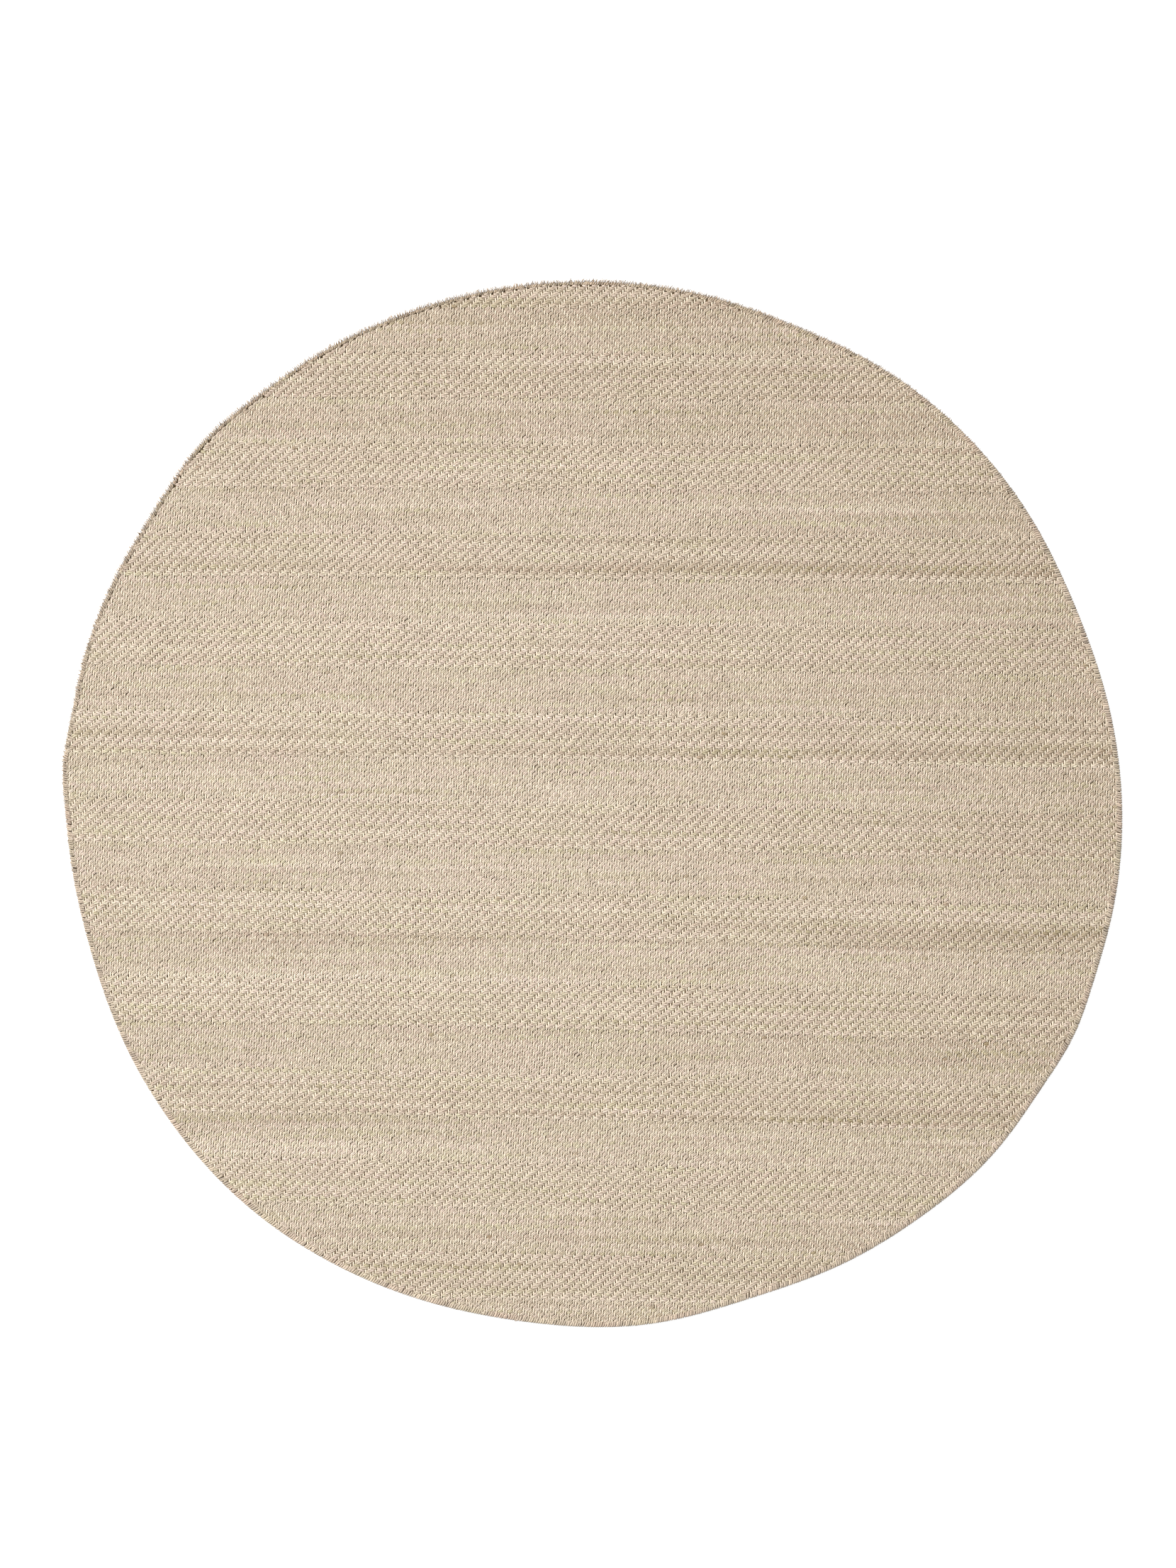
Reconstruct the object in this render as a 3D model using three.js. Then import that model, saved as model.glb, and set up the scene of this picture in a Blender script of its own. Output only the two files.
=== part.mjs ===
// A round flat-woven wool rug: one woven field, and the overcast yarn that binds its edge.
// Millimetres, +Z up. The origin is the middle of the outline's box, on the floor under the rug.
import * as THREE from 'three';

// Driving sizes
const rugRadius = 1000; // mean reach of the finished edge from the middle
const clothThickness = 7; // thin warps with thick wefts beaten over and under them
const bindingWidth = 12; // how far the overcasting reaches in over the cloth
const bindingThickness = 9; // the bound edge, from its underside to its top
const yarnWall = 2.2; // the overcasting yarn, pressed against the cloth
const seatGap = 0.3; // clearance between the cloth and the yarn round it
const easeWidth = 4; // the cloth eases into its pressed margin over this width
const lipBevel = 0.7; // rounding of the binding's two inner lips
const aroundSteps = 160; // straight stretches in the outline
const edgeSteps = 6; // straight stretches in the binding's round outer edge

// A hand-woven round is never true. Each swell moves the edge out (+) or in (-) round one direction.
// at and spread are degrees, counter-clockwise from +X. reach is in millimetres.
const swells = [
  { at: 22, reach: -8, spread: 8 },
  { at: 67, reach: -9, spread: 7 },
  { at: 84, reach: -5, spread: 12 },
  { at: 122, reach: 3, spread: 6 },
  { at: 137, reach: 12, spread: 5 },
  { at: 161, reach: 6, spread: 8 },
  { at: 176, reach: 8, spread: 3 },
  { at: 196, reach: -8, spread: 8 },
  { at: 229, reach: 6, spread: 9 },
  { at: 262, reach: -8, spread: 9 },
  { at: 288, reach: -13, spread: 7 },
  { at: 319, reach: 12, spread: 7 },
  { at: 334, reach: 10, spread: 4 },
  { at: 349, reach: 11, spread: 13 },
];

// Reach of the finished edge from the middle, in one direction given in degrees.
function edgeReach(degrees) {
  let reach = rugRadius;
  for (const swell of swells) {
    const away = THREE.MathUtils.euclideanModulo(degrees - swell.at + 180, 360) - 180;
    reach += swell.reach * Math.exp(-0.5 * (away / swell.spread) ** 2);
  }
  return reach;
}

// Degrees of each stop round the outline.
const stops = Array.from({ length: aroundSteps }, (_, step) => (step * 360) / aroundSteps);

// The outline's box, whose middle becomes the origin.
const outline = new THREE.Box2().setFromPoints(
  stops.map((degrees) => {
    const angle = THREE.MathUtils.degToRad(degrees);
    return new THREE.Vector2(Math.cos(angle), Math.sin(angle)).multiplyScalar(edgeReach(degrees));
  }),
);
const outlineMiddle = outline.getCenter(new THREE.Vector2());

// Sweeps a section once round the uneven outline. Each point of the section is { inset, z }: how far
// it lies in from the finished edge, and its height. The section runs out along the underside, up the
// edge and back over the top. An open section is closed by a flat cap at its first and last point.
function sweepRoundEdge(section, isLoop) {
  const positions = [];
  const triangles = [];
  const at = (point, stop) => point * aroundSteps + (stop % aroundSteps);

  for (const point of section) {
    for (const degrees of stops) {
      const angle = THREE.MathUtils.degToRad(degrees);
      const reach = edgeReach(degrees) - point.inset;
      positions.push(reach * Math.cos(angle), reach * Math.sin(angle), point.z);
    }
  }

  const bands = isLoop ? section.length : section.length - 1;
  for (let point = 0; point < bands; point += 1) {
    const next = (point + 1) % section.length;
    for (let stop = 0; stop < aroundSteps; stop += 1) {
      triangles.push(at(point, stop), at(point, stop + 1), at(next, stop + 1));
      triangles.push(at(point, stop), at(next, stop + 1), at(next, stop));
    }
  }

  if (!isLoop) {
    const last = section.length - 1;
    const lowMiddle = positions.length / 3;
    const highMiddle = lowMiddle + 1;
    positions.push(0, 0, section[0].z);
    positions.push(0, 0, section[last].z);
    for (let stop = 0; stop < aroundSteps; stop += 1) {
      triangles.push(lowMiddle, at(0, stop + 1), at(0, stop));
      triangles.push(highMiddle, at(last, stop), at(last, stop + 1));
    }
  }

  const geometry = new THREE.BufferGeometry();
  geometry.setAttribute('position', new THREE.Float32BufferAttribute(positions, 3));
  geometry.setIndex(triangles);
  geometry.computeVertexNormals();
  return geometry;
}

// The woven field: flat underneath, with a thinner margin all round where the overcasting grips it.
function wovenFieldSection() {
  const marginInset = bindingWidth + seatGap;
  const flatInset = marginInset + easeWidth;
  const edgeInset = yarnWall + seatGap;
  const marginLow = yarnWall + seatGap;
  const marginHigh = bindingThickness - marginLow;
  const marginRound = (marginHigh - marginLow) / 4;
  return [
    { inset: flatInset, z: 0 },
    { inset: marginInset, z: marginLow },
    { inset: edgeInset + marginRound, z: marginLow },
    { inset: edgeInset, z: marginLow + marginRound },
    { inset: edgeInset, z: marginHigh - marginRound },
    { inset: edgeInset + marginRound, z: marginHigh },
    { inset: marginInset, z: marginHigh },
    { inset: flatInset, z: clothThickness },
  ];
}

// The binding: a band of overcasting yarn folded round the margin, open towards the middle of the rug.
function edgeBindingSection() {
  const halfThickness = bindingThickness / 2;
  const outer = [];
  for (let step = 0; step <= edgeSteps; step += 1) {
    const turn = (step / edgeSteps - 0.5) * Math.PI;
    outer.push({
      inset: halfThickness * (1 - Math.cos(turn)),
      z: halfThickness * (1 + Math.sin(turn)),
    });
  }
  const innerLow = yarnWall;
  const innerHigh = bindingThickness - yarnWall;
  return [
    { inset: bindingWidth - lipBevel, z: 0 },
    ...outer,
    { inset: bindingWidth - lipBevel, z: bindingThickness },
    { inset: bindingWidth, z: bindingThickness - lipBevel },
    { inset: bindingWidth, z: innerHigh },
    { inset: yarnWall + lipBevel, z: innerHigh },
    { inset: yarnWall, z: innerHigh - lipBevel },
    { inset: yarnWall, z: innerLow + lipBevel },
    { inset: yarnWall + lipBevel, z: innerLow },
    { inset: bindingWidth, z: innerLow },
    { inset: bindingWidth, z: lipBevel },
  ];
}

function woollenMesh(name, geometry, color) {
  const material = new THREE.MeshStandardMaterial({ color, roughness: 0.95, metalness: 0 });
  const mesh = new THREE.Mesh(geometry, material);
  mesh.name = name;
  return mesh;
}

const rug = new THREE.Group();
rug.add(woollenMesh('woven_field', sweepRoundEdge(wovenFieldSection(), false), 0xcebea8));
rug.add(woollenMesh('edge_binding', sweepRoundEdge(edgeBindingSection(), true), 0xc6b298));
rug.position.set(-outlineMiddle.x, -outlineMiddle.y, 0);

export default rug;
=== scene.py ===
"""Dresses a round flat-woven wool rug round its packed model.

The cloth is a low ground sheet with every weft float and warp float of a pointed 2/2 twill laid on it
as yarn. The edge is wrapped with overcast stitches, and short yarn ends stand out where they were left.
All sizes are metres, +Z is up, the wefts run along X and the warps along Y.
"""

import math

import bpy
import numpy as np
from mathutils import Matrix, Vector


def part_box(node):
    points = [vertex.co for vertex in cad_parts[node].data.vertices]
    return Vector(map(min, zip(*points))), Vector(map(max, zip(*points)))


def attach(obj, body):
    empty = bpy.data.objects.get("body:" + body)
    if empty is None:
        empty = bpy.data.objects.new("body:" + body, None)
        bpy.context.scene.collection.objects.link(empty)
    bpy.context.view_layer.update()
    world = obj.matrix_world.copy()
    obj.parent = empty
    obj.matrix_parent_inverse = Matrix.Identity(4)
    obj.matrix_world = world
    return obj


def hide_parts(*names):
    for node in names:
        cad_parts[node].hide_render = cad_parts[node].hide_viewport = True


bl_info = {
    "name": "Round wool rug",
    "version": (1, 0, 0),
    "blender": (4, 5, 0),
    "location": "3D View > Sidebar > Rug",
    "description": "Dresses a round flat-woven wool rug: ground, yarns, bound edge and a plain studio",
    "category": "Object",
}

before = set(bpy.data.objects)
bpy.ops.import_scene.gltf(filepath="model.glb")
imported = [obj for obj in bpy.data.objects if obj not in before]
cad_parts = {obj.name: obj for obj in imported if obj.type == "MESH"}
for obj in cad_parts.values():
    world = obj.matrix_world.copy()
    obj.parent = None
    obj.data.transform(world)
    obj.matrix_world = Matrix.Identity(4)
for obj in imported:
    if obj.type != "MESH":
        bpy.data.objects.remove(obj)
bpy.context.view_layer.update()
MM = 0.001
TWILL_REPEAT = 4  # a 2/2 twill repeats after four warps and four picks

# Where the weft changed shade. at is the height up the rug, shade the change in brightness, and
# spread how far it fades, all along the whole pick.
ABRASH = [
    {"at": 0.847, "shade": 0.05, "spread": 0.012},
    {"at": 0.639, "shade": 0.05, "spread": 0.008},
    {"at": 0.554, "shade": 0.05, "spread": 0.010},
    {"at": 0.505, "shade": -0.06, "spread": 0.008},
    {"at": 0.445, "shade": -0.12, "spread": 0.009},
    {"at": 0.349, "shade": 0.06, "spread": 0.010},
    {"at": 0.133, "shade": -0.07, "spread": 0.007},
    {"at": 0.118, "shade": 0.07, "spread": 0.006},
    {"at": 0.096, "shade": -0.12, "spread": 0.007},
    {"at": -0.142, "shade": -0.05, "spread": 0.008},
    {"at": -0.209, "shade": 0.06, "spread": 0.010},
    {"at": -0.257, "shade": -0.10, "spread": 0.016},
    {"at": -0.332, "shade": 0.10, "spread": 0.010},
    {"at": -0.484, "shade": -0.06, "spread": 0.008},
    {"at": -0.600, "shade": -0.12, "spread": 0.009},
    {"at": -0.652, "shade": 0.08, "spread": 0.011},
    {"at": -0.893, "shade": -0.07, "spread": 0.018},
]

# Where the warps stand wider (+) or closer (-) than the mean sett. at and spread are along X.
SETT_CHANGES = [
    {"at": -0.68, "wider": -0.015, "spread": 0.15},
    {"at": -0.22, "wider": 0.015, "spread": 0.18},
    {"at": 0.155, "wider": 0.045, "spread": 0.05},
    {"at": 0.56, "wider": -0.025, "spread": 0.13},
]

# How strongly a streak shows: its mean share and how much that changes, in patches about this long and
# this high, and the least and the most of it.
STREAK_STRENGTH = {"mean": 0.75, "change": 0.35, "along": 1.1, "up": 0.25, "least": 0.15, "most": 1.2}

# Fainter patches of shade, and patches of hue, each about this long and this high.
SHADE_PATCHES = [
    {"share": 0.024, "along": 0.90, "up": 0.010, "seed": 32},
    {"share": 0.008, "along": 0.35, "up": 0.050, "seed": 33},
]
HUE_PATCHES = [
    {"share": 0.80, "along": 0.55, "up": 0.022, "seed": 42},
    {"share": 0.35, "along": 0.32, "up": 0.140, "seed": 44},
    {"share": 0.45, "along": 0.10, "up": 0.030, "seed": 45},
    {"share": 0.80, "along": 0.25, "up": 0.009, "seed": 46},
]

# The hue leans this much towards the pinker lots, and this much more a metre up. It stops at the limit.
PINKER = {"mean": 0.3, "top": 0.35, "limit": 2.5}

# The light's falloff over the rug, painted into the wool as shade: how much darker the wool is made a metre
# out, all round the edge, on the right and at the top.
PAINTED_FALLOFF = {"edge": 0.085, "right": 0.075, "top": 0.055}

# Darker weft is browner, in darker lots and in painted shade alike: its blue falls fastest, its red slowest.
BROWNER = np.array([0.87, 1.0, 1.22])

# Dark flecks: the share of the weft floats that are one, and the least and the most that they darken.
FLECKS = {"share": 0.003, "least": 0.12, "most": 0.32}

# Painted light and shade: the warps take a share of the wefts' shade, as light thrown back by the wefts.
WARP_PAINTED_SHADE = 0.6  # the warps change shade by this share of what the wefts do
COLOUR_RANGE = (0.02, 0.98)

# Stray fibres in every wool.
DARK_FIBRE = (0.19, 0.14, 0.10, 1)
PALE_FIBRE = (0.93, 0.84, 0.72, 1)

# Painted shade: how much of its red, green and blue a yarn keeps at its lowest points, down between its
# neighbours, where shade falls.
WEFT_RECESS_SHADE = (0.50, 0.42, 0.315)
WARP_RECESS_SHADE = (0.66, 0.55, 0.40)
EDGE_RECESS_SHADE = (0.8, 0.72, 0.6)

# How much one yarn differs from the next by chance. A pick's place is in picks, a warp's pitch, widths
# and rises are in shares of their size, other places and the warps' lean are in metres.
PICK_CHANCE = {"place": 0.04, "hue": 0.25, "shade": 0.055}
WEFT_CHANCE = {"hue": 0.1, "shade": 0.022, "slant": 0.09, "width": 0.09, "rise": 0.15}
WEFT_PLACE_CHANCE = np.array([0.28, 0.2, 0.15]) * MM
WARP_CHANCE = {"pitch": 0.03, "shade": 0.03, "width": 0.10, "rise": 0.12}
WARP_LEAN_CHANCE = 0.25 * MM
WARP_PLACE_CHANCE = 0.12 * MM
STITCH_CHANCE = {"width": 0.10, "lean": 0.06, "flatness": 0.10, "shade": 0.12}
STITCH_PLACE_CHANCE = 0.3 * MM

# A weft float's length, as a share of the way between the warps that hold it, and its fullness, where the
# twill climbs its own way and where it climbs the other way.
FLOAT_LENGTH = {"with": 0.96, "against": 0.90}
FLOAT_FULLNESS = {"with": 1.0, "against": 1.06}
SHORTEST_HALF = 1 * MM  # a float whose middle is nearer than this to the weave's end is left out
WARP_TUCK = 0.6 * MM  # a warp float is this much longer than the picks that it crosses

# How the cloth lies: where the warps' sway is nil, how far they step to the right over a metre, where the
# droop of the wefts changes and over what height, how much steeper it is a metre to the right, and about
# how long and how high the wobbles are.
SWAY_FROM = 0.5
WARP_STEP = 0.005
DROOP_CHANGES = {"at": 0.05, "over": 0.35}
DROOP_STEEPER = 0.2
WOBBLE_SIDEWAYS = {"length_x": 0.25, "length_y": 0.12}
WOBBLE_UPWARDS = {"length_x": 0.16, "length_y": 0.10}

# The overcast roll. Where the cut ends show it starts further in and is narrower.
ROLL_WIDTH = 11 * MM
ROLL_TIGHTER = 0.55  # narrower by this share where the ends stand out fully
ROLL_PRESSED = 1.6 * MM  # pulled down this far below a full round roll
ROLL_EASE = 0.7  # under 1, so that the roll draws in sooner than the ends grow
RIM_COVER = 2.5 * MM  # the ground cloth's rim stays at least this far inside the roll's outer side
WEAVE_COVER = 0.3  # the weave ends under the roll, at this share of its width

# One stitch: where it ends on the roll's inner side, above and below, a last short step that keeps the
# shading of its cap off the bend before it, and how far it dips there below the top of the roll.
STITCH_END_ABOVE = ROLL_WIDTH - 0.3 * MM
STITCH_END_BELOW = ROLL_WIDTH - 1 * MM
STITCH_LAST_STEP = 0.5 * MM
STITCH_DIP = 1.5 * MM
STITCH_TURNS = np.radians([90, 40, 0, -40, -90])  # round the edge, from the top to the underside
STITCH_COVER = 0.98  # its width, as a share of the pitch

# The stitches' colour: swells of hue and shade along the edge, each about this long, the two hues that
# they swing between, and the painted shade, darker and browner, where the cut ends show and shade their
# roots.
STITCH_SWELLS = {"hue": 0.12, "shade": 0.05}
STITCH_SHADE_SWELL = 0.05
STITCH_PINK = np.array([1.02, 0.985, 0.985])
STITCH_OLIVE = np.array([0.985, 1.0, 0.965])
STITCH_PAINTED_SHADE = 0.30
STITCH_SHADE_BROWNER = np.array([0.0, 0.05, 0.13])

# The cut ends. Pairs are the least and the most.
ENDS_KEPT = 1.6  # how many are kept, as a multiple of their share of the full reach
ENDS_ROOT = 1 * MM  # rooted this far inside the roll's outer side
ENDS_LENGTH = (0.45, 1.25)  # shares of the way out
ENDS_LEAN = {"mean": -0.2, "chance": 0.4}  # sideways along the edge
ENDS_RISE = (-0.15, 0.15)
ENDS_HEIGHT = (2.4, 5.4)  # millimetres above the floor
ENDS_THICKNESS = 1.2 * MM
ENDS_FULLNESS = (0.6, 1.3)
ENDS_TAPER = 0.3  # radius at the tip, as against 0.5 at the root
ENDS_SHADE_CHANCE = 0.30
ENDS_COLOUR_RANGE = (0.03, 0.95)

WELD = 0.01 * MM  # points nearer than this are one
HAIR = 1e-4  # a pattern's points this near to a plane are on it
YARN_MAP_SPREAD = 64  # each copy starts somewhere else on the wool's pattern, within this many yarns
BAKE_OVERLAP = 10 * MM  # the two halves of a map for baking overlap by this much

PICTURE_HEIGHT = 4 / 3  # as a multiple of its width
FLOOR_SIZE = 60
FLOOR_GAP = 0.3 * MM  # the floor is this far below the rug, so that they don't flicker
FLOOR_SHADE = 0.45
FLOOR_GLOW = 0.8  # what makes the floor white where it is seen, and lights nothing


class RugWeave(bpy.types.PropertyGroup):
    """Sett of the cloth, its twill, and how the loom and the floor left it."""

    warp_pitch: bpy.props.FloatProperty(
        name="Warp pitch", description="From one warp to the next", default=4.64 * MM, unit="LENGTH"
    )
    pick_pitch: bpy.props.FloatProperty(
        name="Pick pitch", description="From one weft to the next", default=4.5 * MM, unit="LENGTH"
    )
    picks_per_band: bpy.props.IntProperty(
        name="Picks per band", description="Picks before the twill turns back", default=19
    )
    first_pick: bpy.props.IntProperty(
        name="First pick", description="Picks from a turn of the twill to the middle of the rug", default=19
    )
    sway: bpy.props.FloatProperty(
        name="Warp sway", description="How far the warps wander sideways", default=4 * MM, unit="LENGTH"
    )
    sway_length: bpy.props.FloatProperty(
        name="Sway length", description="Length of one wander of the warps", default=1.25, unit="LENGTH"
    )
    droop: bpy.props.FloatProperty(
        name="Weft droop", description="Fall of the wefts to the right, halfway down the rug", default=0.016
    )
    droop_change: bpy.props.FloatProperty(
        name="Droop change",
        description="How much more they fall at the bottom than at the middle",
        default=0.009,
    )
    wobble: bpy.props.FloatProperty(
        name="Wobble", description="Uneven lie of the yarns", default=0.5 * MM, unit="LENGTH"
    )


class RugYarn(bpy.types.PropertyGroup):
    """Thickness and lie of the yarns on the face of the cloth."""

    ground_height: bpy.props.FloatProperty(
        name="Ground height", description="Where the hidden crossings lie", default=3.4 * MM, unit="LENGTH"
    )
    weft_low: bpy.props.FloatProperty(
        name="Weft sides", description="Height of a weft's two sides", default=5.0 * MM, unit="LENGTH"
    )
    weft_rise: bpy.props.FloatProperty(
        name="Weft rise", description="From its sides to its crown", default=1.3 * MM, unit="LENGTH"
    )
    weft_width: bpy.props.FloatProperty(
        name="Weft width", description="Across one float", default=6.9 * MM, unit="LENGTH"
    )
    shift_with: bpy.props.FloatProperty(
        name="Shift with the twill",
        description="How far a float is pulled sideways where the twill climbs its own way",
        default=-0.8 * MM,
        unit="LENGTH",
    )
    shift_against: bpy.props.FloatProperty(
        name="Shift against the twill",
        description="The same where the twill climbs the other way",
        default=0.5 * MM,
        unit="LENGTH",
    )
    tilt_with: bpy.props.FloatProperty(
        name="Tilt with the twill",
        description="Rise of a float from end to end where the twill climbs its own way",
        default=-1.7 * MM,
        unit="LENGTH",
    )
    tilt_against: bpy.props.FloatProperty(
        name="Tilt against the twill",
        description="The same where the twill climbs the other way",
        default=0.6 * MM,
        unit="LENGTH",
    )
    crown_with: bpy.props.FloatProperty(
        name="Crown with the twill",
        description="How far a float's crown stands off its middle where the twill climbs its own way",
        default=-1.0 * MM,
        unit="LENGTH",
    )
    crown_against: bpy.props.FloatProperty(
        name="Crown against the twill",
        description="The same where the twill climbs the other way",
        default=0.3 * MM,
        unit="LENGTH",
    )
    weft_twist: bpy.props.FloatProperty(
        name="Weft twist",
        description="Lift of a float's corners, which rounds the twill's ridges",
        default=0.9 * MM,
        unit="LENGTH",
    )
    warp_low: bpy.props.FloatProperty(
        name="Warp sides", description="Height of a warp's two sides", default=4.9 * MM, unit="LENGTH"
    )
    warp_rise: bpy.props.FloatProperty(
        name="Warp rise", description="From its sides to its crown", default=1.2 * MM, unit="LENGTH"
    )
    warp_width: bpy.props.FloatProperty(
        name="Warp width", description="Across one warp", default=2.6 * MM, unit="LENGTH"
    )
    slant_with: bpy.props.FloatProperty(
        name="Slant with the twill",
        description="Lean of a float where the twill climbs its own way",
        default=-0.18,
    )
    slant_against: bpy.props.FloatProperty(
        name="Slant against the twill",
        description="Lean of a float where the twill climbs the other way",
        default=0.36,
    )


class RugBinding(bpy.types.PropertyGroup):
    """Overcasting round the edge, and the yarn ends that stand out of it."""

    stitch_pitch: bpy.props.FloatProperty(
        name="Stitch pitch", description="From one stitch to the next", default=4.4 * MM, unit="LENGTH"
    )
    stitch_thickness: bpy.props.FloatProperty(
        name="Stitch thickness",
        description="Thickness of the yarn as pulled down",
        default=2.3 * MM,
        unit="LENGTH",
    )
    stitch_slant: bpy.props.FloatProperty(
        name="Stitch slant", description="Sideways lean of a stitch over its reach", default=0.28
    )
    ends_towards: bpy.props.FloatProperty(
        name="Ends towards",
        description="Direction in which the cut ends stand out most",
        default=math.radians(112),
        subtype="ANGLE",
    )
    ends_spread: bpy.props.FloatProperty(
        name="Ends spread",
        description="How far round the ends show, each way",
        default=math.radians(98),
        subtype="ANGLE",
    )
    ends_reach: bpy.props.FloatProperty(
        name="Ends reach",
        description="How far the cut ends stand out of the binding",
        default=6.5 * MM,
        unit="LENGTH",
    )
    ends_pitch: bpy.props.FloatProperty(
        name="Ends pitch", description="From one cut end to the next", default=0.9 * MM, unit="LENGTH"
    )


class RugColours(bpy.types.PropertyGroup):
    """Undyed wool shades."""

    weft: bpy.props.FloatVectorProperty(
        name="Weft", description="Greige wool", subtype="COLOR", default=(0.574, 0.483, 0.382), min=0, max=1
    )
    weft_pink: bpy.props.FloatVectorProperty(
        name="Pink weft",
        description="Pinker lots of the weft",
        subtype="COLOR",
        default=(0.580, 0.481, 0.387),
        min=0,
        max=1,
    )
    weft_olive: bpy.props.FloatVectorProperty(
        name="Olive weft",
        description="Yellower lots of the weft",
        subtype="COLOR",
        default=(0.563, 0.483, 0.365),
        min=0,
        max=1,
    )
    warp: bpy.props.FloatVectorProperty(
        name="Warp",
        description="Pale warp yarn",
        subtype="COLOR",
        default=(0.885, 0.793, 0.655),
        min=0,
        max=1,
    )
    # Painted shade: the wool down in the crossings is coloured far darker than any yarn, for the shade there.
    ground: bpy.props.FloatVectorProperty(
        name="Ground",
        description="Wool down in the crossings",
        subtype="COLOR",
        default=(0.16, 0.108, 0.06),
        min=0,
        max=1,
    )
    binding: bpy.props.FloatVectorProperty(
        name="Binding",
        description="Overcasting yarn",
        subtype="COLOR",
        default=(0.56, 0.465, 0.364),
        min=0,
        max=1,
    )
    ends: bpy.props.FloatVectorProperty(
        name="Cut ends",
        description="Yarn ends at the edge",
        subtype="COLOR",
        default=(0.50, 0.355, 0.215),
        min=0,
        max=1,
    )


class RugStudio(bpy.types.PropertyGroup):
    """Lamp, fill and camera."""

    camera_height: bpy.props.FloatProperty(
        name="Camera height", description="Above the floor", default=8.0, unit="LENGTH"
    )
    view_width: bpy.props.FloatProperty(
        name="View width", description="Floor seen across the picture", default=2.231, unit="LENGTH"
    )
    camera_left: bpy.props.FloatProperty(
        name="Camera to the left",
        description="How far the rug lies right of the picture's middle",
        default=7.4 * MM,
        unit="LENGTH",
    )
    camera_up: bpy.props.FloatProperty(
        name="Camera up",
        description="How far the rug lies below the picture's middle",
        default=36.3 * MM,
        unit="LENGTH",
    )
    lamp_share: bpy.props.FloatProperty(
        name="Lamp share",
        description="How much of the light comes from the lamp",
        default=0.85,
        subtype="FACTOR",
    )
    fill_share: bpy.props.FloatProperty(
        name="Fill share",
        description="How much of the light comes from all round",
        default=0.50,
        subtype="FACTOR",
    )
    lamp_towards: bpy.props.FloatProperty(
        name="Lamp towards",
        description="Direction of the lamp, from +X",
        default=math.radians(142),
        subtype="ANGLE",
    )
    lamp_elevation: bpy.props.FloatProperty(
        name="Lamp elevation",
        description="Height of the lamp over the floor",
        default=math.radians(40),
        subtype="ANGLE",
    )
    lamp_distance: bpy.props.FloatProperty(
        name="Lamp distance", description="From the middle of the rug", default=40.0, unit="LENGTH"
    )
    lamp_size: bpy.props.FloatProperty(
        name="Lamp size", description="Across the softbox", default=11.7, unit="LENGTH"
    )


SETTINGS = {
    "rug_weave": RugWeave,
    "rug_yarn": RugYarn,
    "rug_binding": RugBinding,
    "rug_colours": RugColours,
    "rug_studio": RugStudio,
}


# The outline


def read_outline():
    """Directions and reaches of the finished edge, from the ring of points halfway up the packed binding."""
    low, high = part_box("edge_binding")
    halfway = (low.z + high.z) / 2
    points = np.array([v.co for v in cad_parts["edge_binding"].data.vertices])
    ring = points[np.abs(points[:, 2] - halfway) < WELD]
    directions = np.round(np.arctan2(ring[:, 1], ring[:, 0]), 5)
    directions, first = np.unique(directions, return_index=True)
    return directions, np.hypot(ring[first, 0], ring[first, 1])


OUTLINE = read_outline()


def edge_reach(direction):
    """How far the finished edge is from the middle, in these directions."""
    return np.interp(direction, *OUTLINE, period=2 * math.pi)


def inset_of(x, y):
    """How far these points lie in from the finished edge."""
    return edge_reach(np.arctan2(y, x)) - np.hypot(x, y)


def ends_share(direction):
    """1 where the cut ends stand out fully, 0 where the edge is rolled smooth."""
    binding = bpy.context.scene.rug_binding
    away = np.abs((direction - binding.ends_towards + math.pi) % (2 * math.pi) - math.pi)
    return 0.5 + 0.5 * np.cos(np.clip(away / binding.ends_spread, 0, 1) * math.pi)


def roll_share(direction):
    """1 where the cut ends draw the roll in most, 0 where they don't."""
    return ends_share(direction) ** ROLL_EASE


def roll_start(direction):
    """How far in from the finished edge the overcast roll begins."""
    return bpy.context.scene.rug_binding.ends_reach * roll_share(direction)


def roll_width(direction):
    """How wide the overcast roll is."""
    return ROLL_WIDTH * (1 - ROLL_TIGHTER * roll_share(direction))


def woven_as_far_as(x, y):
    """How far these points lie inside the weave's own end, which is hidden under the overcast roll."""
    direction = np.arctan2(y, x)
    return inset_of(x, y) - roll_start(direction) - WEAVE_COVER * roll_width(direction)


def round_the_edge(pitch):
    """Points spaced evenly round the finished edge: place, way along it, way in, and direction."""
    fine = np.linspace(-math.pi, math.pi, 20001)
    reach = edge_reach(fine)
    x, y = reach * np.cos(fine), reach * np.sin(fine)
    along = np.concatenate([[0], np.cumsum(np.hypot(np.diff(x), np.diff(y)))])
    count = round(along[-1] / pitch)
    at = (np.arange(count) + 0.5) * along[-1] / count
    direction = np.interp(at, along, fine)
    place = np.stack([np.interp(at, along, x), np.interp(at, along, y), np.zeros(count)], 1)
    ahead = np.stack([np.interp(at + pitch, along, x), np.interp(at + pitch, along, y)], 1)
    behind = np.stack([np.interp(at - pitch, along, x), np.interp(at - pitch, along, y)], 1)
    tangent = ahead - behind
    tangent /= np.linalg.norm(tangent, axis=1, keepdims=True)
    tangent = np.column_stack([tangent, np.zeros(count)])
    inward = np.column_stack([-tangent[:, 1], tangent[:, 0], np.zeros(count)])
    return place, tangent, inward, direction


# The weave


def slow_noise(position, length, seed, terms=5):
    """A smooth random wave along one line, about -1 to 1, whose swells are about length long."""
    rng = np.random.default_rng(seed)
    total = np.zeros_like(position)
    for _ in range(terms):
        wave = 2 * math.pi / (length * rng.uniform(0.6, 1.8))
        total += np.sin(position * wave + rng.uniform(0, 2 * math.pi))
    return total / math.sqrt(terms)


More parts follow.
